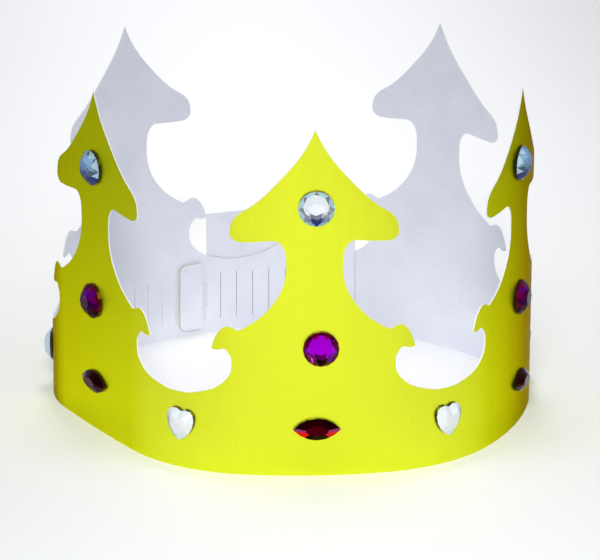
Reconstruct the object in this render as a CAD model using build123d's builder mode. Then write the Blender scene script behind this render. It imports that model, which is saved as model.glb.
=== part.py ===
"""Paper crown: one die-cut strip of gold card, bent into a loop and closed at the back with a
T-shaped tab, with flat-backed faceted gems glued to its gold face.  Millimetres, +Z up.

The origin is in the middle of the head opening, level with the card's bottom edge, and the
front spike stands towards -Y.  A place on the card is given as the strip would measure it lying
flat: its distance along the strip from the front spike's axis, and its height.
"""
import os
from collections import namedtuple
from math import asin, atan2, cos, degrees, hypot, pi, radians, sin, sqrt, tan

from build123d import *

os.makedirs("parts", exist_ok=True)

# The strip
CARD = 0.5  # thickness of the card
SPACING = 107.4  # from one spike's axis to the next
STIFF = 28.0  # half of the flatter stretch that each spike makes
TAIL = 50.0  # from the middle of the last dip to the strip's end
LAP_GAP = 0.3  # air between the two layers where the ends overlap
FRONT_DEPTH = 92.0  # from the origin to the card at the front spike

# How far the card turns over each spike and in each dip, from the back left round to the right
SPIKE_TURNS = [20.7, 5.4, 20.3, 24.9, 17.4]
DIP_TURNS = [65.2, 49.2, 45.1, 48.8]

# The spike's outline, as half width and height
TIP_Z = 138.5
BARB_U, BARB_Z = 32.4, 97.4
UNDER_U, UNDER_Z = 28.4, 94.0
CORNER_U, CORNER_Z = 15.6, 94.8
NECK_U, NECK_Z = 10.8, 84.5
NOTCH_U, NOTCH_Z = 28.9, 58.5
CREST_U, CREST_Z = 33.6, 59.9
HOOK_U, HOOK_Z = 39.7, 50.6
BOWL_U, BOWL_Z = 31.7, 44.0
DIP_Z = 31.0

# The flat-topped panel at each end of the strip
PANEL_Z = 51.5
PANEL_CORNER = 5.0

# The row of slits in the left-hand end, and the T-shaped tab on the right-hand one
SLIT_COUNT = 12
SLIT_STEP = 7.0
SLIT_CUT = 0.3
SLIT_LOW, SLIT_HIGH = 5.5, 25.5
USED_SLIT = 5  # slits between the one in use and the row's first, nearest to the back spike
NECK_LOW, NECK_HIGH = 11.5, 21.5
NECK_ROOM = 0.4  # clearance round the tab's neck in its slit
HEAD_LOW, HEAD_HIGH = 2.5, 31.0
HEAD_LENGTH = 10.5
NECK_RUN = 3.2  # along the strip, from the right-hand end to the tab's head
HEAD_STAND_OFF = 0.9  # air between the tab's head and the card
HEAD_CORNER = 3.0

# The cutting outlines run past the card: above and below it, and beyond each dip's middle
CUT_MARGIN = 8.0
PAST_DIP = 0.4

# The gems
ROUND_SIZE = 14.0
NAVETTE_LENGTH, NAVETTE_WIDTH = 18.0, 8.6
HEART_WIDTH, HEART_HEIGHT = 12.0, 13.0
HEART_LOBE = 3.6
HEART_FLANK = 10.0
GIRDLE = 0.9
DOME = 3.1
TABLE_SHARE = 0.47  # size of a stone's table, as a share of its outline
STAR_SHARE = 0.714  # size of the ring where its star facets end
GLUE = 0.05
CLEAR_Z = 107.8
PURPLE_Z = 52.0
NAVETTE_Z = 19.5
HEART_Z = 17.8

SPIKES = [-2, -1, 0, 1, 2]
SPIKE_NAMES = ["back_left", "side_left", "front", "side_right", "back_right"]
DIPS = [-1.5, -0.5, 0.5, 1.5]
DIP_NAMES = ["back_left", "front_left", "front_right", "back_right"]

# The gems were stuck on by hand.  For the three of each spike, from the top down: how far one
# sits along the strip from the spike's axis, and above its usual height.
NUDGES = {
    "back_left": [(0, 0), (0, 0), (0, 0)],
    "side_left": [(-1.4, -0.3), (-2.1, 0.8), (-0.8, 0.2)],
    "front": [(0.5, 0), (2.6, -0.3), (1.2, -0.3)],
    "side_right": [(-2.0, 1.0), (1.2, 0.8), (4.0, -2.2)],
    "back_right": [(0, 0), (0, 0), (0, 0)],
}
# For each heart: how far it sits from the middle of its dip, and how far it is turned
HEART_NUDGES = {
    "back_left": (0, 0),
    "front_left": (1.1, -6),
    "front_right": (1.1, 4),
    "back_right": (0, 0),
}

SLIVER = 0.001  # a stretch shorter than this is none
HALF_LAP = (CARD + LAP_GAP) / 2
LAST_DIP = 2.5 * SPACING
STRIP_END = LAST_DIP + TAIL

# Plan of the bent strip
# The strip is a chain of tangent arcs that all turn the same way: flatter over the spikes,
# tighter in the dips.  Two more arcs close the loop at the back, where the strip's ends overlap.
Bend = namedtuple("Bend", "start end centre radius heading")


def bend_from(point, start, length, radius, heading):
    """The arc that leaves a point at a heading; a negative length runs back along the strip."""
    turn = radians(heading)
    centre = (point[0] - radius * sin(turn), point[1] + radius * cos(turn))
    return Bend(start, start + length, centre, radius, heading)


def on_bend(bend, s, outward=0.0):
    """The point of an arc at a place on the strip, moved outwards by a little."""
    turn = radians(bend.heading) + (s - bend.start) / bend.radius
    reach = bend.radius + outward
    return (bend.centre[0] + reach * sin(turn), bend.centre[1] - reach * cos(turn))


def heading_at(bend, s):
    return bend.heading + degrees((s - bend.start) / bend.radius)


def half_chain(side):
    """The arcs from the front spike's axis to the far edge of a back spike."""
    spike_turns = SPIKE_TURNS[2:] if side > 0 else SPIKE_TURNS[2::-1]
    dip_turns = DIP_TURNS[2:] if side > 0 else DIP_TURNS[1::-1]
    between = SPACING - 2 * STIFF
    stretches = [(STIFF, spike_turns[0] / 2)]
    for dip_turn, spike_turn in zip(dip_turns, spike_turns[1:]):
        stretches.append((between, dip_turn))
        stretches.append((2 * STIFF, spike_turn))
    point, start, heading = (0.0, -FRONT_DEPTH), 0.0, 0.0
    chain = []
    for length, turn in stretches:
        radius = length / radians(turn)
        bend = bend_from(point, start, side * length, radius, heading)
        chain.append(bend)
        start = bend.end
        point = on_bend(bend, start)
        heading = heading_at(bend, start)
    return chain


def closing_arcs(right, left):
    """Two tangent arcs over the back, midway between the two layers: radius and turn of each."""
    right_heading = radians(heading_at(right, right.end))
    left_heading = radians(heading_at(left, left.end) + 360)
    start = on_bend(right, right.end, -HALF_LAP)
    stop = on_bend(left, left.end, HALF_LAP)
    t_start = (cos(right_heading), sin(right_heading))
    t_stop = (cos(left_heading), sin(left_heading))
    chord = (stop[0] - start[0], stop[1] - start[1])
    along = chord[0] * (t_start[0] + t_stop[0]) + chord[1] * (t_start[1] + t_stop[1])
    spread = 2 * (1 - (t_start[0] * t_stop[0] + t_start[1] * t_stop[1]))
    handle = (-along + sqrt(along**2 + spread * (chord[0] ** 2 + chord[1] ** 2))) / spread
    joint = (
        (start[0] + stop[0] + handle * (t_start[0] - t_stop[0])) / 2,
        (start[1] + stop[1] + handle * (t_start[1] - t_stop[1])) / 2,
    )
    arcs = []
    for end, tangent in ((start, t_start), (stop, t_stop)):
        step = (joint[0] - end[0], joint[1] - end[1])
        inward = step[0] * -tangent[1] + step[1] * tangent[0]
        radius = (step[0] ** 2 + step[1] ** 2) / (2 * inward)
        turn = 2 * asin(hypot(*step) / (2 * radius))
        arcs.append((radius, abs(turn)))
    return arcs


def tail_bends(last, arcs, side):
    """One end of the strip, on the outer layer at the right and the inner one at the left."""
    bends = []
    start = last.end
    point = on_bend(last, start)
    heading = heading_at(last, start)
    for mid_radius, turn in arcs:
        radius = mid_radius + side * HALF_LAP
        bend = bend_from(point, start, side * radius * turn, radius, heading)
        bends.append(bend)
        start = bend.end
        point = on_bend(bend, start)
        heading = heading_at(bend, start)
    return bends


right_chain = half_chain(1)
left_chain = half_chain(-1)
closing = closing_arcs(right_chain[-1], left_chain[-1])
right_tail = tail_bends(right_chain[-1], closing, 1)
left_tail = tail_bends(left_chain[-1], closing[::-1], -1)
BENDS = right_chain + right_tail + left_chain + left_tail


def span(bend):
    return min(bend.start, bend.end), max(bend.start, bend.end)


def bend_at(s):
    """The arc that holds a place on the strip."""
    return min(BENDS, key=lambda b: max(span(b)[0] - s, s - span(b)[1], 0))


def station(s, outward=0.0):
    return on_bend(bend_at(s), s, outward)


def facing(s, outward=0.0, height=0.0):
    """The plane that touches the card at a place on the strip: x along the strip, y up."""
    turn = radians(heading_at(bend_at(s), s))
    x, y = station(s, outward)
    x_dir = (cos(turn), sin(turn), 0)
    return Plane(origin=(x, y, height), x_dir=x_dir, z_dir=(sin(turn), -cos(turn), 0))


def across(s_axis, s):
    """How far a place lies from an axis when it is looked at straight on."""
    turn = radians(heading_at(bend_at(s_axis), s_axis))
    x0, y0 = station(s_axis)
    x1, y1 = station(s)
    return (x1 - x0) * cos(turn) + (y1 - y0) * sin(turn)


def card_strip(s0, s1):
    """Sketch of the card's thickness in plan, between two places on the strip."""
    with BuildSketch(Plane.XY) as strip:
        for bend in BENDS:
            low, high = max(span(bend)[0], s0), min(span(bend)[1], s1)
            if high - low < SLIVER:
                continue
            with BuildLine():
                skins = []
                for skin in (-CARD / 2, CARD / 2):
                    spots = [on_bend(bend, s, skin) for s in (low, (low + high) / 2, high)]
                    ThreePointArc(*spots)
                    skins.append(spots)
                Line(skins[0][0], skins[1][0])
                Line(skins[0][2], skins[1][2])
            make_face()
    return strip.sketch


# Outline of the spikes and of the panels
def half_outline(s_axis, side):
    """One half of a spike, from its tip down to the middle of the dip beside it."""

    def spot(u, z):
        return (across(s_axis, s_axis + side * u), z)

    def between(a, b, *shares):
        return [spot(a[0] + (b[0] - a[0]) * fu, a[1] + (b[1] - a[1]) * fz) for fu, fz in shares]

    tip, barb, neck = (0.0, TIP_Z), (BARB_U, BARB_Z), (NECK_U, NECK_Z)
    corner, notch, hook = (CORNER_U, CORNER_Z), (NOTCH_U, NOTCH_Z), (HOOK_U, HOOK_Z)
    bowl, dip = (BOWL_U, BOWL_Z), (SPACING / 2, DIP_Z)
    flank = between(tip, barb, (0, 0), (0.14, 0.215), (0.41, 0.48), (0.79, 0.76), (1, 1))
    Spline(*flank, tangents=((side * 0.42, -1), (0, -1)))
    under = between(barb, (UNDER_U, UNDER_Z), (0, 0), (0.25, 0.66), (1, 1))
    Spline(*under, tangents=((0, -1), (-side, 0)))
    shelf = between((UNDER_U, UNDER_Z), corner, (0, 0), (0.5, 0.3), (1, 1))
    Spline(*shelf, tangents=((-side, 0), (-side, 0)))
    throat = between(corner, neck, (0, 0), (0.62, 0.15), (1, 1))
    Spline(*throat, tangents=((-side, 0), (0, -1)))
    waist = between(neck, notch, (0, 0), (0.12, 0.4), (0.43, 0.71), (1, 1))
    Spline(*waist, tangents=((0, -1), (side * 1.8, -1)))
    crest = (CREST_U, CREST_Z)
    claw = between(notch, crest, (0, 0), (0.6, 0.75), (1, 1))
    claw += between(crest, hook, (0.475, 0.215), (0.78, 0.56), (1, 1))
    Spline(*claw, tangents=((side, 0.15), (side * 0.3, -1)))
    palm = between(hook, bowl, (0, 0), (0.15, 0.07))
    Line(*palm)
    cup = between(hook, bowl, (0.15, 0.07), (0.64, -0.03), (0.95, 0.42), (1, 1))
    Spline(*cup, tangents=((-side, -0.1), (0, -1)))
    rim = between(bowl, dip, (0, 0), (0.1, 0.44), (0.39, 0.79), (0.68, 0.94), (1, 1))
    Spline(*rim, tangents=((0, -1), (side, 0)))
    return spot(*dip)


CUT_TOP = TIP_Z + CUT_MARGIN
CUT_FLOOR = DIP_Z - CUT_MARGIN
CUT_REACH = SPACING / 3


def spike(number):
    """One spike with its half dips, cut square through its own stretch of the strip."""
    axis = number * SPACING
    left = across(axis, axis - SPACING / 2)
    right = across(axis, axis + SPACING / 2)
    with BuildPart() as piece:
        blank = card_strip(axis - SPACING / 2, axis + SPACING / 2)
        add(extrude(blank, amount=TIP_Z + CUT_MARGIN / 2))
        with BuildSketch(facing(axis)):
            with BuildLine():
                Polyline(
                    (left - PAST_DIP, CUT_FLOOR),
                    (left - PAST_DIP, CUT_TOP),
                    (right + PAST_DIP, CUT_TOP),
                    (right + PAST_DIP, CUT_FLOOR),
                    close=True,
                )
            make_face()
            with BuildLine():
                low_right = half_outline(axis, 1)
                low_left = half_outline(axis, -1)
                Polyline(
                    low_right,
                    (right + 2 * PAST_DIP, DIP_Z),
                    (right + 2 * PAST_DIP, CUT_FLOOR - PAST_DIP),
                    (left - 2 * PAST_DIP, CUT_FLOOR - PAST_DIP),
                    (left - 2 * PAST_DIP, DIP_Z),
                    low_left,
                )
            make_face(mode=Mode.SUBTRACT)
        extrude(amount=CUT_REACH, both=True, mode=Mode.SUBTRACT)
    return piece.part


def tail(side):
    """The flat-topped panel beyond the last dip, at one end of the strip."""
    axis = side * LAST_DIP

    def spot(u, z):
        return (across(axis, axis + side * u), z)

    upright = SPACING / 2 - BOWL_U
    rise = BOWL_Z - DIP_Z
    stop = across(axis, side * STRIP_END) + side * CUT_MARGIN
    with BuildPart() as piece:
        ends = sorted((axis, side * STRIP_END))
        add(extrude(card_strip(*ends), amount=PANEL_Z + CUT_MARGIN / 2))
        with BuildSketch(facing(axis)):
            with BuildLine():
                shares = [(0, 0), (0.32, 0.06), (0.61, 0.21), (0.9, 0.56), (1, 1)]
                bowl = [spot(upright * fu, DIP_Z + rise * fz) for fu, fz in shares]
                Spline(*bowl, tangents=((side, 0), (0, 1)))
                corner_x = bowl[-1][0]
                Line(bowl[-1], (corner_x, PANEL_Z - PANEL_CORNER))
                RadiusArc(
                    (corner_x, PANEL_Z - PANEL_CORNER),
                    (corner_x + side * PANEL_CORNER, PANEL_Z),
                    side * PANEL_CORNER,
                )
                Polyline(
                    (corner_x + side * PANEL_CORNER, PANEL_Z),
                    (stop, PANEL_Z),
                    (stop, CUT_TOP),
                    (-side * PAST_DIP, CUT_TOP),
                    (-side * PAST_DIP, DIP_Z),
                    bowl[0],
                )
            make_face()
        extrude(amount=CUT_REACH, both=True, mode=Mode.SUBTRACT)
    return piece.part


# The tab leaves the outer layer's end, slants in through the slit beside it and opens into a
# T-shaped head that lies on the inside of the card.  Both layers bend about one centre there.
INNER = left_tail[0]
END_HEADING = heading_at(bend_at(STRIP_END), STRIP_END) - 360
TAB_OUTER = INNER.radius + 2 * HALF_LAP
TAB_INNER = INNER.radius - CARD - HEAD_STAND_OFF
NECK_SLOPE = atan2(TAB_OUTER - TAB_INNER, NECK_RUN)
SLIT_OFFSET = 2 * HALF_LAP / (TAB_OUTER - TAB_INNER) * NECK_RUN
TAB_START = INNER.start + INNER.radius * radians(END_HEADING - INNER.heading)
USED_S = TAB_START + SLIT_OFFSET
SLIT_PLACES = [USED_S + (USED_SLIT - n) * SLIT_STEP for n in range(SLIT_COUNT)]
NECK_WINDOW = CARD / tan(NECK_SLOPE) + CARD / sin(NECK_SLOPE) + NECK_ROOM


def tab_point(s, radius):
    """A point beside the used slit, by its place on the strip and its distance from the centre."""
    turn = radians(INNER.heading) + (s - INNER.start) / INNER.radius
    return (INNER.centre[0] + radius * sin(turn), INNER.centre[1] - radius * cos(turn))


def tab_neck():
    start = Vector(*tab_point(TAB_START - CARD / 2, TAB_OUTER))
    stop = Vector(*tab_point(TAB_START + NECK_RUN + CARD / 2, TAB_INNER))
    side = (stop - start).normalized().rotate(Axis.Z, 90) * (CARD / 2)
    with BuildPart() as neck:
        with BuildSketch(Plane.XY.offset(NECK_LOW)):
            with BuildLine():
                Polyline(start + side, stop + side, stop - side, start - side, close=True)
            make_face()
        extrude(amount=NECK_HIGH - NECK_LOW)
    return neck.part


def tab_head():
    with BuildPart() as head:
        with BuildSketch(Plane.XY.offset(HEAD_LOW)):
            with BuildLine():
                near = TAB_START + NECK_RUN
                far = near + HEAD_LENGTH
                skins = []
                for radius in (TAB_INNER - CARD / 2, TAB_INNER + CARD / 2):
                    spots = [tab_point(s, radius) for s in (near, (near + far) / 2, far)]
                    ThreePointArc(*spots)
                    skins.append(spots)
                Line(skins[0][0], skins[1][0])
                Line(skins[0][2], skins[1][2])
            make_face()
        extrude(amount=HEAD_HIGH - HEAD_LOW)
        neck_end = Vector(*tab_point(near, TAB_INNER), (HEAD_LOW + HEAD_HIGH) / 2)
        level = head.edges().filter_by(lambda e: e.length < 2 * CARD and abs(e.tangent_at(0).Z) < 0.1)
        fillet(level.sort_by_distance(neck_end)[-2:], HEAD_CORNER)
    return head.part


with BuildPart() as card_band:
    for number in SPIKES:
        add(spike(number))
    for side in (-1, 1):
        add(tail(side))
    slit_middle = (SLIT_LOW + SLIT_HIGH) / 2
    with Locations(*[facing(s, 0, slit_middle).location for s in SLIT_PLACES]):
        Box(SLIT_CUT, SLIT_HIGH - SLIT_LOW, CARD + LAP_GAP, mode=Mode.SUBTRACT)
    with Locations(facing(USED_S, 0, (NECK_LOW + NECK_HIGH) / 2).location):
        Box(NECK_WINDOW, NECK_HIGH - NECK_LOW + NECK_ROOM, CARD + LAP_GAP, mode=Mode.SUBTRACT)
    add(tab_neck())
    add(tab_head())
card_band.part.label = "card_band"
export_step(card_band.part, "parts/card_band.step")


# The gems
# Each is a flat-backed acrylic stone with an upright wall.  Above the wall eight kite facets rise
# to the table, with a star facet between the tops of two kites and a pair of rim facets below it.
FOLDS = 8


def round_outline(size):
    turns = [pi * n / FOLDS for n in range(2 * FOLDS)]
    return [(size / 2 * cos(a), size / 2 * sin(a)) for a in turns]


def navette_outline(length, width):
    """Two equal arcs that meet in a point at each end."""
    radius = (length**2 + width**2) / (4 * width)
    reach = asin(length / 2 / radius)
    turns = [reach * (1 - 2 * n / FOLDS) for n in range(FOLDS)]
    top = [(radius * sin(a), radius * cos(a) - radius + width / 2) for a in turns]
    return top + [(-x, -y) for x, y in top]


def heart_outline(width, height):
    """Two round lobes and two bowed flanks, worked out on the right and mirrored to the left."""
    lobe = (width / 2 - HEART_LOBE, height / 2 - HEART_LOBE)
    tip = (0, -height / 2)
    apart = hypot(lobe[0] - tip[0], lobe[1] - tip[1])
    down = ((tip[0] - lobe[0]) / apart, (tip[1] - lobe[1]) / apart)
    less = HEART_FLANK - HEART_LOBE
    along = (less**2 - HEART_FLANK**2 + apart**2) / (2 * apart)
    aside = sqrt(less**2 - along**2)
    flank = (lobe[0] + along * down[0] + aside * down[1], lobe[1] + along * down[1] - aside * down[0])
    cleft_turn = atan2(sqrt(HEART_LOBE**2 - lobe[0] ** 2), -lobe[0])
    join_turn = atan2(lobe[1] - flank[1], lobe[0] - flank[0])
    tip_turn = atan2(tip[1] - flank[1], tip[0] - flank[0])

    def arc(centre, radius, first, last):
        turns = [first + (last - first) * n / (FOLDS / 2) for n in range(FOLDS // 2)]
        return [(centre[0] + radius * cos(a), centre[1] + radius * sin(a)) for a in turns]

    right = arc(lobe, HEART_LOBE, cleft_turn, join_turn) + arc(flank, HEART_FLANK, join_turn, tip_turn)
    left = [(-x, y) for x, y in right[1:]]
    return [right[0]] + left + [tip] + right[:0:-1]


def turned(outline, turn):
    c, s = cos(radians(turn)), sin(radians(turn))
    return [(x * c - y * s, x * s + y * c) for x, y in outline]


def cut_stone(seat, outline):
    """The stone as its flat facets, from the back on the card to the table."""
    star_rise = GIRDLE + DOME * (1 - STAR_SHARE * cos(pi / FOLDS)) / (1 - TABLE_SHARE)

    def ring(corners, share, rise):
        return [seat.from_local_coords(Vector(x * share, y * share, rise)) for x, y in corners]

    back = ring(outline, 1, 0)
    wall = ring(outline, 1, GIRDLE)
    stars = ring(outline[1::2], STAR_SHARE, star_rise)
    table = ring(outline[::2], TABLE_SHARE, GIRDLE + DOME)
    facets = [back[::-1], table]
    for n in range(2 * FOLDS):
        facets.append([back[n - 1], back[n], wall[n], wall[n - 1]])
    for n in range(FOLDS):
        facets.append([table[n - 1], stars[n - 1], table[n]])
        facets.append([table[n], stars[n - 1], wall[2 * n]])
        facets.append([table[n], wall[2 * n], stars[n]])
        facets.append([stars[n], wall[2 * n], wall[2 * n + 1]])
        facets.append([stars[n - 1], wall[2 * n - 1], wall[2 * n]])
    return Solid(Shell([Face(Wire.make_polygon(facet)) for facet in facets]))


def make_gem(name, place, height, outline):
    """A gem glued to the gold face, with its back touching the card along its own middle."""
    gem = cut_stone(facing(place, CARD / 2 + GLUE, height), outline)
    gem.label = name
    export_step(gem, f"parts/{name}.step")


STONES = [
    ("round_clear", CLEAR_Z, round_outline(ROUND_SIZE)),
    ("round_purple", PURPLE_Z, round_outline(ROUND_SIZE)),
    ("navette_red", NAVETTE_Z, navette_outline(NAVETTE_LENGTH, NAVETTE_WIDTH)),
]
for number, where in zip(SPIKES, SPIKE_NAMES):
    for (kind, height, outline), (along, above) in zip(STONES, NUDGES[where]):
        make_gem(f"{kind}_{where}", number * SPACING + along, height + above, outline)
for number, where in zip(DIPS, DIP_NAMES):
    along, turn = HEART_NUDGES[where]
    outline = turned(heart_outline(HEART_WIDTH, HEART_HEIGHT), turn)
    make_gem(f"heart_clear_{where}", number * SPACING + along, HEART_Z, outline)
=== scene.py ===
# %% [markdown]
# # A paper crown, bent into a ring from one gold card
#
# The CAD model gives every size and place. This script finds the photograph's camera, gives the
# card its gold foil and bare board, cuts the stick-on gems facet by facet, and lights them softly.

import math

import bpy
from mathutils import Matrix, Vector


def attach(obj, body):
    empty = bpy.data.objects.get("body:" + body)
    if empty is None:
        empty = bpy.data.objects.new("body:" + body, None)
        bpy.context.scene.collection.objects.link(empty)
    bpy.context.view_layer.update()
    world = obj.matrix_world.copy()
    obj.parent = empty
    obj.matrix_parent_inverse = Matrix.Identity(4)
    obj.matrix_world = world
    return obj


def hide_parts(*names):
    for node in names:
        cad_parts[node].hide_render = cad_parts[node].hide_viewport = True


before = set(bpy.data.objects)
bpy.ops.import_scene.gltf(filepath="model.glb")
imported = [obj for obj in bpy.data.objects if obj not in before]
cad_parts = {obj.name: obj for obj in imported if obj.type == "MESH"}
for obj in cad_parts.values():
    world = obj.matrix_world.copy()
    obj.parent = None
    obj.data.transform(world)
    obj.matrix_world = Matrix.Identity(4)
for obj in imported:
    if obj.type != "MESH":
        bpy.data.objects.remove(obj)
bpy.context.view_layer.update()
bpy.ops.object.select_all(action="DESELECT")

# %% [markdown]
# ## Camera
#
# The crown was photographed from about 1.8 m away through a long lens, so its far points look
# hardly smaller than the near ones. The camera looks down by 18.6 degrees, which shows the bare
# inside at the back, and the crown stood turned by 3 degrees to it. The camera is turned about
# the crown here instead, because the CAD model stays where it is.

# %% Camera
DISTANCE = 1.8148
ELEVATION = math.radians(18.568)
ROLL = math.radians(0.285)
CROWN_TURN = math.radians(3.1608)
FOCAL_PIXELS = 4530.7
IMAGE_WIDTH = 600
SENSOR = 36
LOOK_AT = Vector((-0.000234, 0, 0.04842))
CROWN_SHIFT = Vector((0.000234, 0, 0))

forward = Vector((0, math.cos(ELEVATION), -math.sin(ELEVATION)))
right = Vector((1, 0, 0))
up = right.cross(forward)
rolled_right = right * math.cos(ROLL) + up * math.sin(ROLL)
rolled_up = up * math.cos(ROLL) - right * math.sin(ROLL)
back_turn = Matrix.Rotation(-CROWN_TURN, 3, "Z")
place = back_turn @ (LOOK_AT - forward * DISTANCE - CROWN_SHIFT)
axes = Matrix([back_turn @ rolled_right, back_turn @ rolled_up, back_turn @ -forward]).transposed()

bpy.ops.object.camera_add()
camera = bpy.context.object
camera.name = "camera"
camera.matrix_world = Matrix.Translation(place) @ axes.to_4x4()
camera.data.sensor_width = SENSOR
camera.data.lens = SENSOR * FOCAL_PIXELS / IMAGE_WIDTH
camera.data.clip_start = 0.05
camera.data.clip_end = 60
bpy.context.scene.camera = camera
bpy.context.scene.view_settings.view_transform = "Standard"
print("lens", round(camera.data.lens, 1), "mm, camera at", [round(v, 3) for v in place])

# %% [markdown]
# ## Materials
#
# A finish is a small tree of nodes. One helper starts a finish with an empty tree, one adds a
# node and wires its inputs, and one wires the result to the output, so that the cells below read
# like a recipe. A colour or number that is the same all over is set on the shader itself.


# %% Material helpers
def finish_named(name):
    """A new material with nothing in its tree but the output."""
    finish = bpy.data.materials.new(name)
    finish.use_nodes = True
    finish.node_tree.nodes.clear()
    finish.node_tree.nodes.new("ShaderNodeOutputMaterial")
    return finish


def node(finish, kind, wires=None, **settings):
    """Adds one node. A wire is a plain value, or another node's output."""
    made = finish.node_tree.nodes.new("ShaderNode" + kind)
    for key, value in settings.items():
        setattr(made, key, value)
    for key, value in (wires or {}).items():
        if isinstance(value, bpy.types.NodeSocket):
            finish.node_tree.links.new(value, made.inputs[key])
        else:
            made.inputs[key].default_value = value
    return made


def show(finish, shader):
    """Wires a shader to the material's output."""
    output = next(n for n in finish.node_tree.nodes if n.type == "OUTPUT_MATERIAL")
    finish.node_tree.links.new(shader.outputs[0], output.inputs["Surface"])


# %% [markdown]
# ## Grain, unevenness and change of tone
#
# Nothing that is made by hand or in a press is quite even, and most of what the eye reads as foil,
# board or plastic is that unevenness. Each finish below needs the same four steps: a noise, a bump
# made from it, a stretch of its values to the ones wanted, and a blend of two colours by them.


# %% Texture helpers
def noise(finish, where, scale, detail, rough=0.5):
    """A cloudy pattern, finer with a larger scale."""
    wires = {"Vector": where, "Scale": scale, "Detail": detail, "Roughness": rough}
    return node(finish, "TexNoise", wires).outputs["Fac"]


def bump(finish, height, strength, distance, under=None):
    """Bends the surface's normal by a pattern, on top of another bump where one is given."""
    wires = {"Height": height, "Strength": strength, "Distance": distance}
    if under is not None:
        wires["Normal"] = under
    return node(finish, "Bump", wires).outputs[0]


def stretch(finish, value, low, high, least=0, most=1):
    """Turns values from low to high into values from least to most."""
    wires = {"Value": value, "From Min": low, "From Max": high, "To Min": least, "To Max": most}
    return node(finish, "MapRange", wires).outputs[0]


def blend(finish, amount, first, second):
    """Goes from the first colour to the second as the amount goes from 0 to 1."""
    return node(finish, "Mix", {0: amount, 6: first, 7: second}, data_type="RGBA").outputs[2]


# %% [markdown]
# ## The card: which side is which
#
# The card is white board with gold foil laid on one face, so one sheet shows three finishes: foil
# outside, bare board inside, and a thin cut edge. The wall always faces away from the crown's
# axis, so the way a face points, compared with the way out from the axis, tells them apart.

# %% Sides of the card
FACING = 0.6

card = finish_named("gold_card")
where = node(card, "TexCoord").outputs["Object"]
flat_place = node(card, "VectorMath", {0: where, 1: (1, 1, 0)}, operation="MULTIPLY")
way_out = node(card, "VectorMath", {0: flat_place.outputs[0]}, operation="NORMALIZE")
faces = node(card, "NewGeometry").outputs["True Normal"]
outward = node(card, "VectorMath", {0: way_out.outputs[0], 1: faces}, operation="DOT_PRODUCT")
is_gold = node(card, "Math", {0: outward.outputs["Value"], 1: FACING}, operation="GREATER_THAN")
is_board = node(card, "Math", {0: outward.outputs["Value"], 1: -FACING}, operation="LESS_THAN")
print("foil faces within", round(math.degrees(math.acos(FACING))), "degrees of the way out")

# %% [markdown]
# ## Gold foil
#
# The foil is a satin, greenish gold, and a metal takes its tone from what it faces: bright at the
# front, where it mirrors the lit paper, and olive at the sides, where it mirrors the plainer paper
# beside them. It turns browner and darker where it is seen edge-on, which is the shader's specular
# tint. The rolled foil keeps a very fine grain that runs up and down, and the card under it is
# never quite flat.

# %% Gold foil
GOLD = (0.80, 0.88, 0.035, 1)
GOLD_EDGE_ON = (0.28, 0.09, 0.0, 1)
SMOOTHEST = 0.27
ROUGHEST = 0.35
GRAIN_SQUEEZE = (1, 1, 0.04)

long_way = node(card, "Mapping", {"Vector": where, "Scale": GRAIN_SQUEEZE})
rolled = noise(card, long_way.outputs[0], 700, 3)
swell_bump = bump(card, noise(card, where, 38, 2), 0.10, 0.0006)
gold = node(
    card,
    "BsdfPrincipled",
    {
        "Base Color": GOLD,
        "Metallic": 1,
        "Roughness": stretch(card, rolled, 0.3, 0.7, SMOOTHEST, ROUGHEST),
        "Specular Tint": GOLD_EDGE_ON,
        "Normal": bump(card, rolled, 0.05, 0.0001, under=swell_bump),
    },
)
print("foil colour", GOLD[:3], "edge-on", GOLD_EDGE_ON[:3])

# %% [markdown]
# ## Bare board and cut edge
#
# The inside is uncoated white board with a faint lilac cast, which is painted shade. It is matt,
# with short fibres pressed into it. Two noises make it, a fine one for the fibres and a wide one
# for the cloudy look of cheap board. The cut edge is the same pulp, torn a little by the die, so it
# is warmer and rougher.

# %% Bare board and cut edge
# Both board colours carry a painted lilac shade; the board itself is white.
BOARD = (0.84, 0.85, 0.915, 1)
BOARD_SHADE = (0.76, 0.775, 0.85, 1)
CUT_EDGE = (0.84, 0.84, 0.82, 1)

fibres = noise(card, where, 1100, 5, rough=0.7)
cloud = noise(card, where, 55, 3)
mottle = node(card, "Math", {0: fibres, 1: cloud}, operation="MULTIPLY").outputs[0]
board_colour = blend(card, stretch(card, mottle, 0.14, 0.36), BOARD_SHADE, BOARD)
board_bump = bump(card, fibres, 0.3, 0.0002)
board = node(
    card,
    "BsdfPrincipled",
    {"Base Color": board_colour, "Roughness": 0.62, "Normal": board_bump},
)
edge = node(
    card,
    "BsdfPrincipled",
    {"Base Color": CUT_EDGE, "Roughness": 0.85, "Normal": board_bump},
)
two = node(card, "MixShader", {0: is_board.outputs[0], 1: edge.outputs[0], 2: board.outputs[0]})
three = node(card, "MixShader", {0: is_gold.outputs[0], 1: two.outputs[0], 2: gold.outputs[0]})
show(card, three)
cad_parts["card_band"].data.materials[0] = card
print("card_band has", len(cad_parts["card_band"].data.polygons), "triangles")

# %% [markdown]
# ## Cutting the gems
#
# Craft gems are cast in acrylic from a cut master: a flat back, a short upright wall, and rings of
# flat facets that rise to a table. A stone cutter grinds each facet as one plane, and a bisect that
# throws away the outer side does the same to a mesh, so each stone starts as a plain blank and is
# ground down. Each kind of stone is cut once here, and copied later.


# %% The grinding wheel
BLANK_SIDES = 16
TOUCHING = 0.00002


def start_blank(name, radius, height):
    """A flat-backed disc at the origin, ready in edit mode."""
    bpy.ops.object.select_all(action="DESELECT")
    bpy.ops.mesh.primitive_cylinder_add(
        vertices=BLANK_SIDES, radius=radius, depth=height, location=(0, 0, height / 2)
    )
    blank = bpy.context.object
    blank.name = name
    bpy.ops.object.transform_apply(location=True, rotation=True, scale=True)
    bpy.ops.object.mode_set(mode="EDIT")
    bpy.ops.mesh.select_mode(type="FACE")
    return blank


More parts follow.
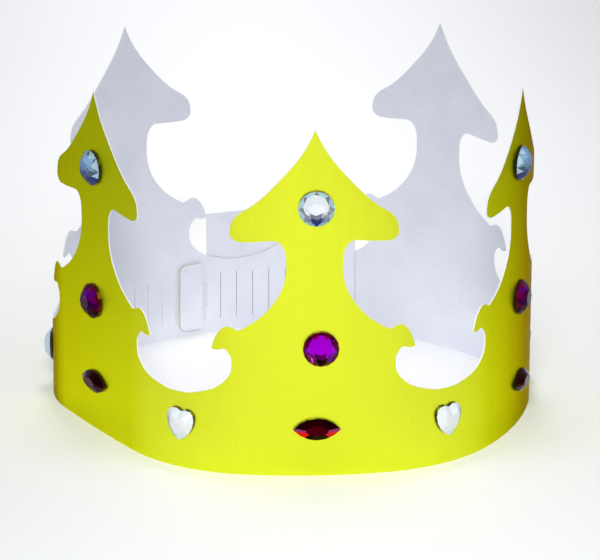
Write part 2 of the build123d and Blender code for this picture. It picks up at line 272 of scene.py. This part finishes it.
def grind(azimuth, slope, reach, height, centre=(0, 0)):
    """Grinds one facet: a plane that leans by slope, at that reach from the centre and height."""
    turn, lean = math.radians(azimuth), math.radians(slope)
    away = Vector((math.cos(turn), math.sin(turn), 0))
    bpy.ops.mesh.select_all(action="SELECT")
    bpy.ops.mesh.bisect(
        plane_co=Vector((*centre, height)) + away * reach,
        plane_no=away * math.sin(lean) + Vector((0, 0, math.cos(lean))),
        use_fill=True,
        clear_outer=True,
    )


def polish(stone):
    """Closes the mesh, joins cuts that lie in one plane and leaves edit mode."""
    bpy.ops.mesh.select_all(action="SELECT")
    bpy.ops.mesh.remove_doubles(threshold=TOUCHING)
    bpy.ops.mesh.dissolve_limited(angle_limit=math.radians(1))
    bpy.ops.mesh.normals_make_consistent(inside=False)
    bpy.ops.object.mode_set(mode="OBJECT")
    print(stone.name, "has", len(stone.data.polygons), "faces")


# %% [markdown]
# ## Picking faces
#
# With no mouse, faces are picked by their place. A half stone has a flat face where its other half
# will be. That face has to go before the halves are joined, or it would stay inside as a wall.


# %% Picking faces
def open_side(half):
    """Deletes the flat face on the plane between the two halves."""
    bpy.ops.mesh.select_all(action="DESELECT")
    bpy.ops.object.mode_set(mode="OBJECT")
    for face in half.data.polygons:
        face.select = face.normal.x < -0.99 and abs(face.center.x) < 0.00001
    print(half.name, "opened:", sum(face.select for face in half.data.polygons), "face")
    bpy.ops.object.mode_set(mode="EDIT")
    bpy.ops.mesh.delete(type="ONLY_FACE")
    bpy.ops.object.mode_set(mode="OBJECT")


# %% [markdown]
# ## Round stone
#
# The round stones are cut like a simple brilliant: eight main facets from the wall to the table,
# sixteen narrow ones along the rim, which lean a little more, and eight star facets round the
# table, which lean less.

# %% Round stone
WALL = 0.0009
STONE_HEIGHT = 0.004
ROUND_RADIUS = 0.007
TABLE_RADIUS = 0.0033
RIM_STEEPER = 5.5
STAR_FLATTER = 10.4

round_stone = start_blank("round_master", ROUND_RADIUS, STONE_HEIGHT)
main_lean = math.degrees(math.atan((STONE_HEIGHT - WALL) / (ROUND_RADIUS - TABLE_RADIUS)))
rim_reach = ROUND_RADIUS * math.cos(math.pi / 16)
star_reach = TABLE_RADIUS * math.cos(math.pi / 8)
for number in range(8):
    grind(45 * number, main_lean, ROUND_RADIUS, WALL)
for number in range(16):
    grind(22.5 * number + 11.25, main_lean + RIM_STEEPER, rim_reach, WALL)
for number in range(8):
    grind(45 * number + 22.5, main_lean - STAR_FLATTER, star_reach, STONE_HEIGHT)
polish(round_stone)

# %% [markdown]
# ## Navette stone
#
# A navette is boat-shaped: two equal arcs that meet in two tips. Six short walls follow each arc,
# and the facets above them lean less towards the tips, where the stone is narrow. One more facet
# at each tip brings the stone down to its point.

# %% Navette stone
BLANK_RADIUS = 0.012
NAVETTE_HALF = Vector((0.009, 0.0043))
NAVETTE_TABLE_HALF = 0.002
NAVETTE_HEIGHT = 0.0031
WALL_TURNS = (-42.5, -25.5, -8.5, 8.5, 25.5, 42.5)
SIDE_LEANS = {17: 41, 34: 38}
TIP_LEAN = 25

arc_radius = NAVETTE_HALF.length_squared / (2 * NAVETTE_HALF.y)
arc_centre = arc_radius - NAVETTE_HALF.y
rise = NAVETTE_HEIGHT - WALL
middle_lean = math.degrees(math.atan(rise / (NAVETTE_HALF.y - NAVETTE_TABLE_HALF)))

navette = start_blank("navette_master", BLANK_RADIUS, NAVETTE_HEIGHT)
for side in (90, 270):
    centre = (0, -arc_centre if side == 90 else arc_centre)
    for turn in WALL_TURNS:
        grind(side + turn, 90, arc_radius, 0, centre)
    grind(side, middle_lean, NAVETTE_HALF.y, WALL)
    for turn, lean in SIDE_LEANS.items():
        grind(side - turn, lean, arc_radius, WALL, centre)
        grind(side + turn, lean, arc_radius, WALL, centre)
for side in (0, 180):
    grind(side, TIP_LEAN, NAVETTE_HALF.x, WALL)
polish(navette)

# %% [markdown]
# ## Heart stone
#
# A heart has a notch, and a bisect can't cut a notch out of a solid. So half a heart is cut, with
# a small arc for its lobe and a wide one for its flank, and a Mirror modifier adds the other half.
# Each arc has four facets. Their turns say which way they face, and the half step is half the
# turn from one to the next. All of them rise from the wall at one slope, so the table has the
# heart's own outline.

# %% Heart stone
HEART_HEIGHT = 0.0034
HEART_RIM_LEAN = 42
LOBE = {
    "centre": (0.0024, 0.0029),
    "radius": 0.0036,
    "turns": (115.6, 83.2, 50.7, 18.3),
    "half_step": 16.2,
}
FLANK = {
    "centre": (-0.0040, 0.00267),
    "radius": 0.010,
    "turns": (-6.5, -23.6, -40.8, -57.8),
    "half_step": 8.55,
}

heart = start_blank("heart_master", BLANK_RADIUS, HEART_HEIGHT)
grind(180, 90, 0, 0)
for arc in (LOBE, FLANK):
    reach = arc["radius"] * math.cos(math.radians(arc["half_step"]))
    for turn in arc["turns"]:
        grind(turn, 90, reach, 0, arc["centre"])
        grind(turn, HEART_RIM_LEAN, reach, WALL, arc["centre"])
open_side(heart)
mirror = heart.modifiers.new("other_half", "MIRROR")
mirror.merge_threshold = TOUCHING
bpy.ops.object.modifier_apply(modifier=mirror.name)
bpy.ops.object.mode_set(mode="EDIT")
polish(heart)

# %% [markdown]
# ## Acrylic
#
# Each stone is tinted acrylic over a silvered back, so light goes in through one facet, off the
# back and out through another. That is modelled as it is: a shader that lets light through on the
# facets, and a mirror on the back. Seen edge-on, the light passes more tinted plastic, so the
# colour deepens there, which Layer Weight gives. It deepens more than that longer path makes, so
# part of it is painted shade. Cast acrylic is a little wavy, and its polish leaves fine lines,
# which two faint noises add.
#
# Three more values fit a finish to its facets. Milk is the share of light that the plastic
# scatters and doesn't let through. Glint is the tint of what a facet mirrors. Bend is how much
# the plastic bends light: 1.49 in real acrylic, and a lower one mirrors less of the pale room.


# %% Acrylic
ACRYLIC_BEND = 1.49
STRAIGHT_ON = 0.25
EDGE_ON = 0.75


def acrylic(name, clear, deep, milk=0.0, glint=(1, 1, 1), bend=ACRYLIC_BEND):
    """Tinted acrylic: clear seen straight on, deeper edge-on with some painted shade, cloudy by
    milk.
    """
    finish = finish_named(name)
    where = node(finish, "TexCoord").outputs["Object"]
    wavy = bump(finish, noise(finish, where, 160, 2), 0.12, 0.0004)
    polished = stretch(finish, noise(finish, where, 2600, 2), 0.35, 0.7, 0, 0.05)
    turned_away = node(finish, "LayerWeight", {"Blend": 0.5, "Normal": wavy}).outputs["Facing"]
    # The edge-on deepening is partly painted shade.
    depth = stretch(finish, turned_away, STRAIGHT_ON, EDGE_ON)
    shader = node(
        finish,
        "BsdfPrincipled",
        {
            "Base Color": blend(finish, depth, (*clear, 1), (*deep, 1)),
            "Roughness": polished,
            "IOR": bend,
            "Specular Tint": (*glint, 1),
            "Transmission Weight": 1 - milk,
            "Normal": wavy,
        },
    )
    show(finish, shader)
    print(name, "clear", clear, "deep", deep)
    return finish


# %% [markdown]
# ## Silvered backs and dark walls
#
# A stone's back is sprayed with silver. Its low wall is painted nearly black outside, a painted
# shade for the thin dark line round each stone, and pale on its inner face, painted light for the
# wall seen lit and tinted through the stone. Backfacing tells the two faces apart.


# %% Silvered backs and dark walls
def coating(name, colour, metal, roughness, inside=None):
    """A coat: silver on a stone's back, or a wall of painted shade with painted light inside."""
    finish = finish_named(name)
    where = node(finish, "TexCoord").outputs["Object"]
    uneven = stretch(finish, noise(finish, where, 1800, 3), 0.3, 0.7, 0.85, 1)
    tint = node(finish, "VectorMath", {0: colour, 3: uneven}, operation="SCALE").outputs[0]
    wires = {"Base Color": tint, "Metallic": metal, "Roughness": roughness}
    shader = node(finish, "BsdfPrincipled", wires)
    if inside:
        # Painted light on the wall's inner face; the outside colour is painted shade.
        painted_light_tint = node(finish, "VectorMath", {0: inside, 3: uneven}, operation="SCALE").outputs[0]
        pale = node(finish, "BsdfDiffuse", {"Color": painted_light_tint})
        inner_face = node(finish, "NewGeometry").outputs["Backfacing"]
        wires = {0: inner_face, 1: shader.outputs[0], 2: pale.outputs[0]}
        shader = node(finish, "MixShader", wires)
    show(finish, shader)
    print(name, "outside", colour, "inside", inside)
    return finish


SILVERED = coating("gem_silver", (0.96, 0.98, 1.0), 1, 0.03)
CLEAR_WALL = coating("clear_gem_wall", (0.012, 0.013, 0.02), 0, 0.15, inside=(0.45, 0.75, 0.95))
VIOLET_WALL = coating("purple_gem_wall", (0.06, 0.0, 0.008), 0.3, 0.15, inside=(0.45, 0.0, 0.06))
RED_WALL = coating("red_gem_wall", (0.02, 0.0, 0.002), 0.3, 0.15, inside=(0.5, 0.0, 0.0))

# %% [markdown]
# ## Clear stones
#
# A clear stone shows pale and deep blue facets side by side. The tinted finishes place them: the
# face is pale, the rim cloudy, and the lower part painted deep navy, a painted shade. The stones
# round the sides and the back stand away from the lit paper, so their face gets a deeper painted
# shade too, and so does their whole lower side. The hearts are cloudier all over, which is why they
# look pale and smooth, and their table is painted brighter than their rim: painted light and shade.
# Each kind of stone names its parts, in one fixed order.

# %% Clear finishes
CLEAR = acrylic("clear_gem", (0.94, 0.98, 1.0), (0.10, 0.36, 0.85), milk=0.15)
# The SHADED finishes are painted-shade copies, for the stones off the front.
CLEAR_SHADED = acrylic("clear_gem_shaded", (0.40, 0.68, 0.98), (0.04, 0.20, 0.75), milk=0.12)
# Painted shade for the low facets of the clear stones.
CLEAR_PAINTED_SHADE = acrylic(
    "clear_gem_painted_shade", (0.02, 0.04, 0.19), (0.01, 0.03, 0.15), milk=0.8, glint=(0.15, 0.2, 0.6)
)
CLEAR_RIM = acrylic("clear_gem_rim", (0.62, 0.90, 1.0), (0.25, 0.55, 0.88), milk=0.6)
CLEAR_BRIGHT = acrylic("clear_gem_bright", (0.97, 0.99, 1.0), (0.75, 0.88, 0.97), milk=0.6)
CLEAR_SOFT = acrylic("clear_gem_soft", (0.80, 0.86, 0.90), (0.55, 0.75, 0.90), milk=0.8)

ROUND_CLEAR = {
    "back": SILVERED,
    "wall": CLEAR_WALL,
    "face": CLEAR,
    "low": CLEAR_PAINTED_SHADE,
    "rim": CLEAR_RIM,
}
ROUND_CLEAR_SHADED = {**ROUND_CLEAR, "face": CLEAR_SHADED}
# The heart's table is painted brighter and its rim darker: painted light and shade.
HEART_CLEAR = {
    "back": SILVERED,
    "wall": CLEAR_WALL,
    "table": CLEAR_BRIGHT,
    "rim": CLEAR_SOFT,
}

# %% [markdown]
# ## Purple and red stones
#
# A dark stone mirrors the pale room as grey patches, which the real ones hardly show. So what
# these facets mirror is tinted violet or red, and their bend is lower than acrylic's, lowest where
# the grey would show most. The low facets of a purple stone are painted near black, a painted
# shade, and its rim crimson, a painted reflection of the gold card. On the front navette the low
# facets beside the tips are painted bright red and the tips pink, painted light; the other navettes
# get a painted shade there instead.

# %% Purple finishes
VIOLET_GLINT = (0.8, 0.0, 1.0)
RED_GLINT = (1.0, 0.0, 0.1)
LOW_BEND = 1.38
LOWER_BEND = 1.25
LOWEST_BEND = 1.2

VIOLET = acrylic(
    "purple_gem", (0.40, 0.0, 0.68), (0.05, 0.0, 0.07), glint=VIOLET_GLINT, bend=LOW_BEND
)
# Painted-shade copy of VIOLET, for the stones off the front.
VIOLET_SHADED = acrylic(
    "purple_gem_shaded", (0.13, 0.0, 0.22), (0.02, 0.0, 0.03), glint=VIOLET_GLINT, bend=LOWER_BEND
)
# Painted shade on the purple stones' lower facets.
VIOLET_PAINTED_SHADE = acrylic(
    "purple_gem_painted_shade", (0.015, 0.0, 0.006), (0.008, 0.0, 0.003), glint=RED_GLINT, bend=LOWEST_BEND
)
# The rim's crimson is a painted reflection of the gold card.
VIOLET_RIM = acrylic(
    "purple_gem_rim",
    (0.15, 0.0, 0.03),
    (0.05, 0.0, 0.01),
    milk=0.4,
    glint=RED_GLINT,
    bend=LOW_BEND,
)

ROUND_PURPLE = {
    "back": SILVERED,
    "wall": VIOLET_WALL,
    "face": VIOLET,
    "low": VIOLET_PAINTED_SHADE,
    "rim": VIOLET_RIM,
}
ROUND_PURPLE_SHADED = {**ROUND_PURPLE, "face": VIOLET_SHADED}


# %% Red finishes
def red_acrylic(name, clear, deep, milk, bend):
    """Acrylic that mirrors in red."""
    return acrylic(name, clear, deep, milk=milk, glint=RED_GLINT, bend=bend)


RED = red_acrylic("red_gem", (0.06, 0.0, 0.003), (0.02, 0.0, 0.001), 0.3, LOW_BEND)
# Painted shade, for the navettes off the front.
RED_SHADED = red_acrylic("red_gem_shaded", (0.07, 0.0, 0.01), (0.02, 0.0, 0.002), 0.3, LOWEST_BEND)
RED_DEEP = red_acrylic("red_gem_deep", (0.008, 0.0, 0.001), (0.004, 0.0, 0.0), 0.0, LOWEST_BEND)
# RED_LIT and RED_PINK are painted light for the front navette; RED_SHADED is their painted shade.
RED_LIT = red_acrylic("red_gem_lit", (0.95, 0.0, 0.0), (0.30, 0.0, 0.0), 0.9, LOWEST_BEND)
RED_PINK = red_acrylic("red_gem_pink", (0.30, 0.04, 0.17), (0.05, 0.0, 0.01), 0.7, LOW_BEND)

NAVETTE_RED = {
    "back": SILVERED,
    "wall": RED_WALL,
    "table": RED,
    "side": RED_DEEP,
    "painted_light": RED_LIT,
    "tip": RED_PINK,
}
NAVETTE_RED_SHADED = {**NAVETTE_RED, "painted_light": RED_SHADED, "tip": RED_SHADED}

# %% [markdown]
# ## Which facet is which part
#
# A part is told by the way a facet faces and by where its middle lies, in the stone's own frame:
# x along the band, y up, and z out of the card. The names are those of the finishes above.


# %% Parts of a stone
LEVEL = 0.99
RIM_MARGIN = 3
LOW_IN_FRONT = -0.002
LOW_ELSEWHERE = -0.0018
PAINTED_LIGHT_FROM = 0.003


def part_of(face, choose):
    """The flat back, the wall, or what the stone's own choice says of a facet."""
    if face.normal.z < -0.5:
        return "back"
    if face.normal.z < 0.05:
        return "wall"
    return choose(face.normal, face.center)


def front_round_part(normal, middle):
    """The rim stands out, and the bottom main and two star facets are low, with painted shade."""
    if math.degrees(math.acos(min(1, normal.z))) > main_lean + RIM_MARGIN:
        return "rim"
    return "low" if middle.y < LOW_IN_FRONT and abs(middle.x) < -0.5 * middle.y else "face"


def shaded_round_part(normal, middle):
    """As in front, but every facet on the lower side is low, which paints shade on that side."""
    return "low" if middle.y < LOW_ELSEWHERE else front_round_part(normal, middle)


def navette_part(normal, middle):
    """The table, the tips, the low facets beside the tips that take painted light in front, and the
    long sides.
    """
    if normal.z > LEVEL:
        return "table"
    if abs(normal.x) > 3 * abs(normal.y):
        return "tip"
    return "painted_light" if middle.y < 0 and abs(middle.x) > PAINTED_LIGHT_FROM else "side"


def heart_part(normal, middle):
    """The table and the rim."""
    return "rim" if normal.z < LEVEL else "table"


print("finishes:", len([m for m in bpy.data.materials if "gem" in m.name]))

# %% [markdown]
# ## Setting the stones
#
# Each CAD gem says where its stone goes. Its back is the direction in which most of its surface
# lies flat, and the middle of that back is the stone's own origin. A copy of the cut stone is laid
# there and takes the CAD gem's place.


# %% Finding the seat
def seat(name, lean):
    """Where a CAD gem stands: its axes along the band, up and out, and the middle of its back."""
    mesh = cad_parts[name].data
    sides = {}
    for face in mesh.polygons:
        sides.setdefault(tuple(round(v, 2) for v in face.normal), []).append(face)
    back = max(sides.values(), key=lambda faces: sum(face.area for face in faces))
    out = -back[0].normal
    level = Vector((0, 0, 1)).cross(out).normalized()
    steep = out.cross(level)
    along = level * math.cos(lean) + steep * math.sin(lean)
    upward = out.cross(along)
    corners = [mesh.vertices[i].co for face in back for i in face.vertices]
    middle = out * corners[0].dot(out)
    for axis in (along, upward):
        reach = [corner.dot(axis) for corner in corners]
        middle += axis * (min(reach) + max(reach)) / 2
    return Matrix.Translation(middle) @ Matrix([along, upward, out]).transposed().to_4x4()


# %% Setting one stone
def set_stone(master, name, finishes, choose, lean=0):
    """Copies a cut stone, finishes its facets and sets it where the CAD gem is."""
    bpy.ops.object.select_all(action="DESELECT")
    master.select_set(True)
    bpy.context.view_layer.objects.active = master
    bpy.ops.object.duplicate(linked=False)
    stone = bpy.context.object
    stone.name = "stone_" + name
    parts = list(finishes)
    for finish in finishes.values():
        stone.data.materials.append(finish)
    for face in stone.data.polygons:
        face.material_index = parts.index(part_of(face, choose))
    stone.matrix_world = seat(name, math.radians(lean))
    bpy.ops.object.transform_apply(location=True, rotation=True, scale=True)
    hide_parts(name)
    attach(stone, "root")


# %% [markdown]
# ## Every stone in its place
#
# Each spike carries a clear round stone, a purple one and a red navette, and each dip a heart.
# The front spike has the brighter finishes, some with painted light, and the other spikes have
# copies with painted shade. A heart was stuck on by hand, so the two in front lean
# a few degrees off upright.

# %% Every stone in its place
SPIKES = ["back_left", "side_left", "front", "side_right", "back_right"]
HEART_LEANS = {"back_left": 0, "front_left": -6, "front_right": 4, "back_right": 0}

for spike in SPIKES:
    front = spike == "front"
    choose = front_round_part if front else shaded_round_part
    clear = ROUND_CLEAR if front else ROUND_CLEAR_SHADED
    purple = ROUND_PURPLE if front else ROUND_PURPLE_SHADED
    red = NAVETTE_RED if front else NAVETTE_RED_SHADED
    set_stone(round_stone, "round_clear_" + spike, clear, choose)
    set_stone(round_stone, "round_purple_" + spike, purple, choose)
    set_stone(navette, "navette_red_" + spike, red, navette_part)
for dip, lean in HEART_LEANS.items():
    set_stone(heart, "heart_clear_" + dip, HEART_CLEAR, heart_part, lean=lean)
for master in (round_stone, navette, heart):
    bpy.data.objects.remove(master)

# %% [markdown]
# ## Floor, room and lamps
#
# The crown stands on white paper in a room with plain, faintly blue light. One soft lamp makes a
# pool of light on the paper in front of the crown, and another one on the paper behind it. The
# foil at the front mirrors the bright pool, and the sides mirror the plainer paper beside them,
# which sets the front apart from the sides.

# %% Floor and room
FLOOR_SIZE = 12
PAPER = (0.92, 0.92, 0.92, 1)
ROOM = (0.43, 0.44, 0.465, 1)

bpy.ops.mesh.primitive_plane_add(size=FLOOR_SIZE, location=(0, 0, 0))
floor = bpy.context.object
floor.name = "floor"
paper = finish_named("stage_paper")
spot = node(paper, "TexCoord").outputs["Object"]
tooth = bump(paper, noise(paper, spot, 300, 3), 0.1, 0.0001)
show(paper, node(paper, "BsdfDiffuse", {"Color": PAPER, "Normal": tooth}))
floor.data.materials.append(paper)

room = bpy.data.worlds.new("studio")
room.use_nodes = True
room.node_tree.nodes["Background"].inputs["Color"].default_value = ROOM
bpy.context.scene.world = room
print("paper", PAPER[:3], "room", ROOM[:3])


# %% Lamps
def soft_lamp(name, place, aim, width, length, watts, spread):
    """A rectangular soft box with a grid, which keeps its light in a pool."""
    bpy.ops.object.light_add(type="AREA", location=place)
    lamp = bpy.context.object
    lamp.name = name
    lamp.data.shape = "RECTANGLE"
    lamp.data.size = width
    lamp.data.size_y = length
    lamp.data.energy = watts
    lamp.data.spread = math.radians(spread)
    lamp.rotation_mode = "QUATERNION"
    lamp.rotation_quaternion = (Vector(place) - Vector(aim)).to_track_quat("Z", "Y")
    lamp.visible_camera = False
    print(name, "at", place, watts, "W")


soft_lamp(
    "lamp_front",
    place=(-0.1, -1.5, 0.9),
    aim=(0, -0.41, 0),
    width=0.5,
    length=0.5,
    watts=1.2,
    spread=28,
)
soft_lamp(
    "lamp_back",
    place=(0, 0.65, 0.9),
    aim=(0, 0.65, 0),
    width=0.2,
    length=1.2,
    watts=1.0,
    spread=48,
)

# %% [markdown]
# ## Updating the scene
#
# The view layer is brought up to date at the end.

# %% Update
bpy.context.view_layer.update()
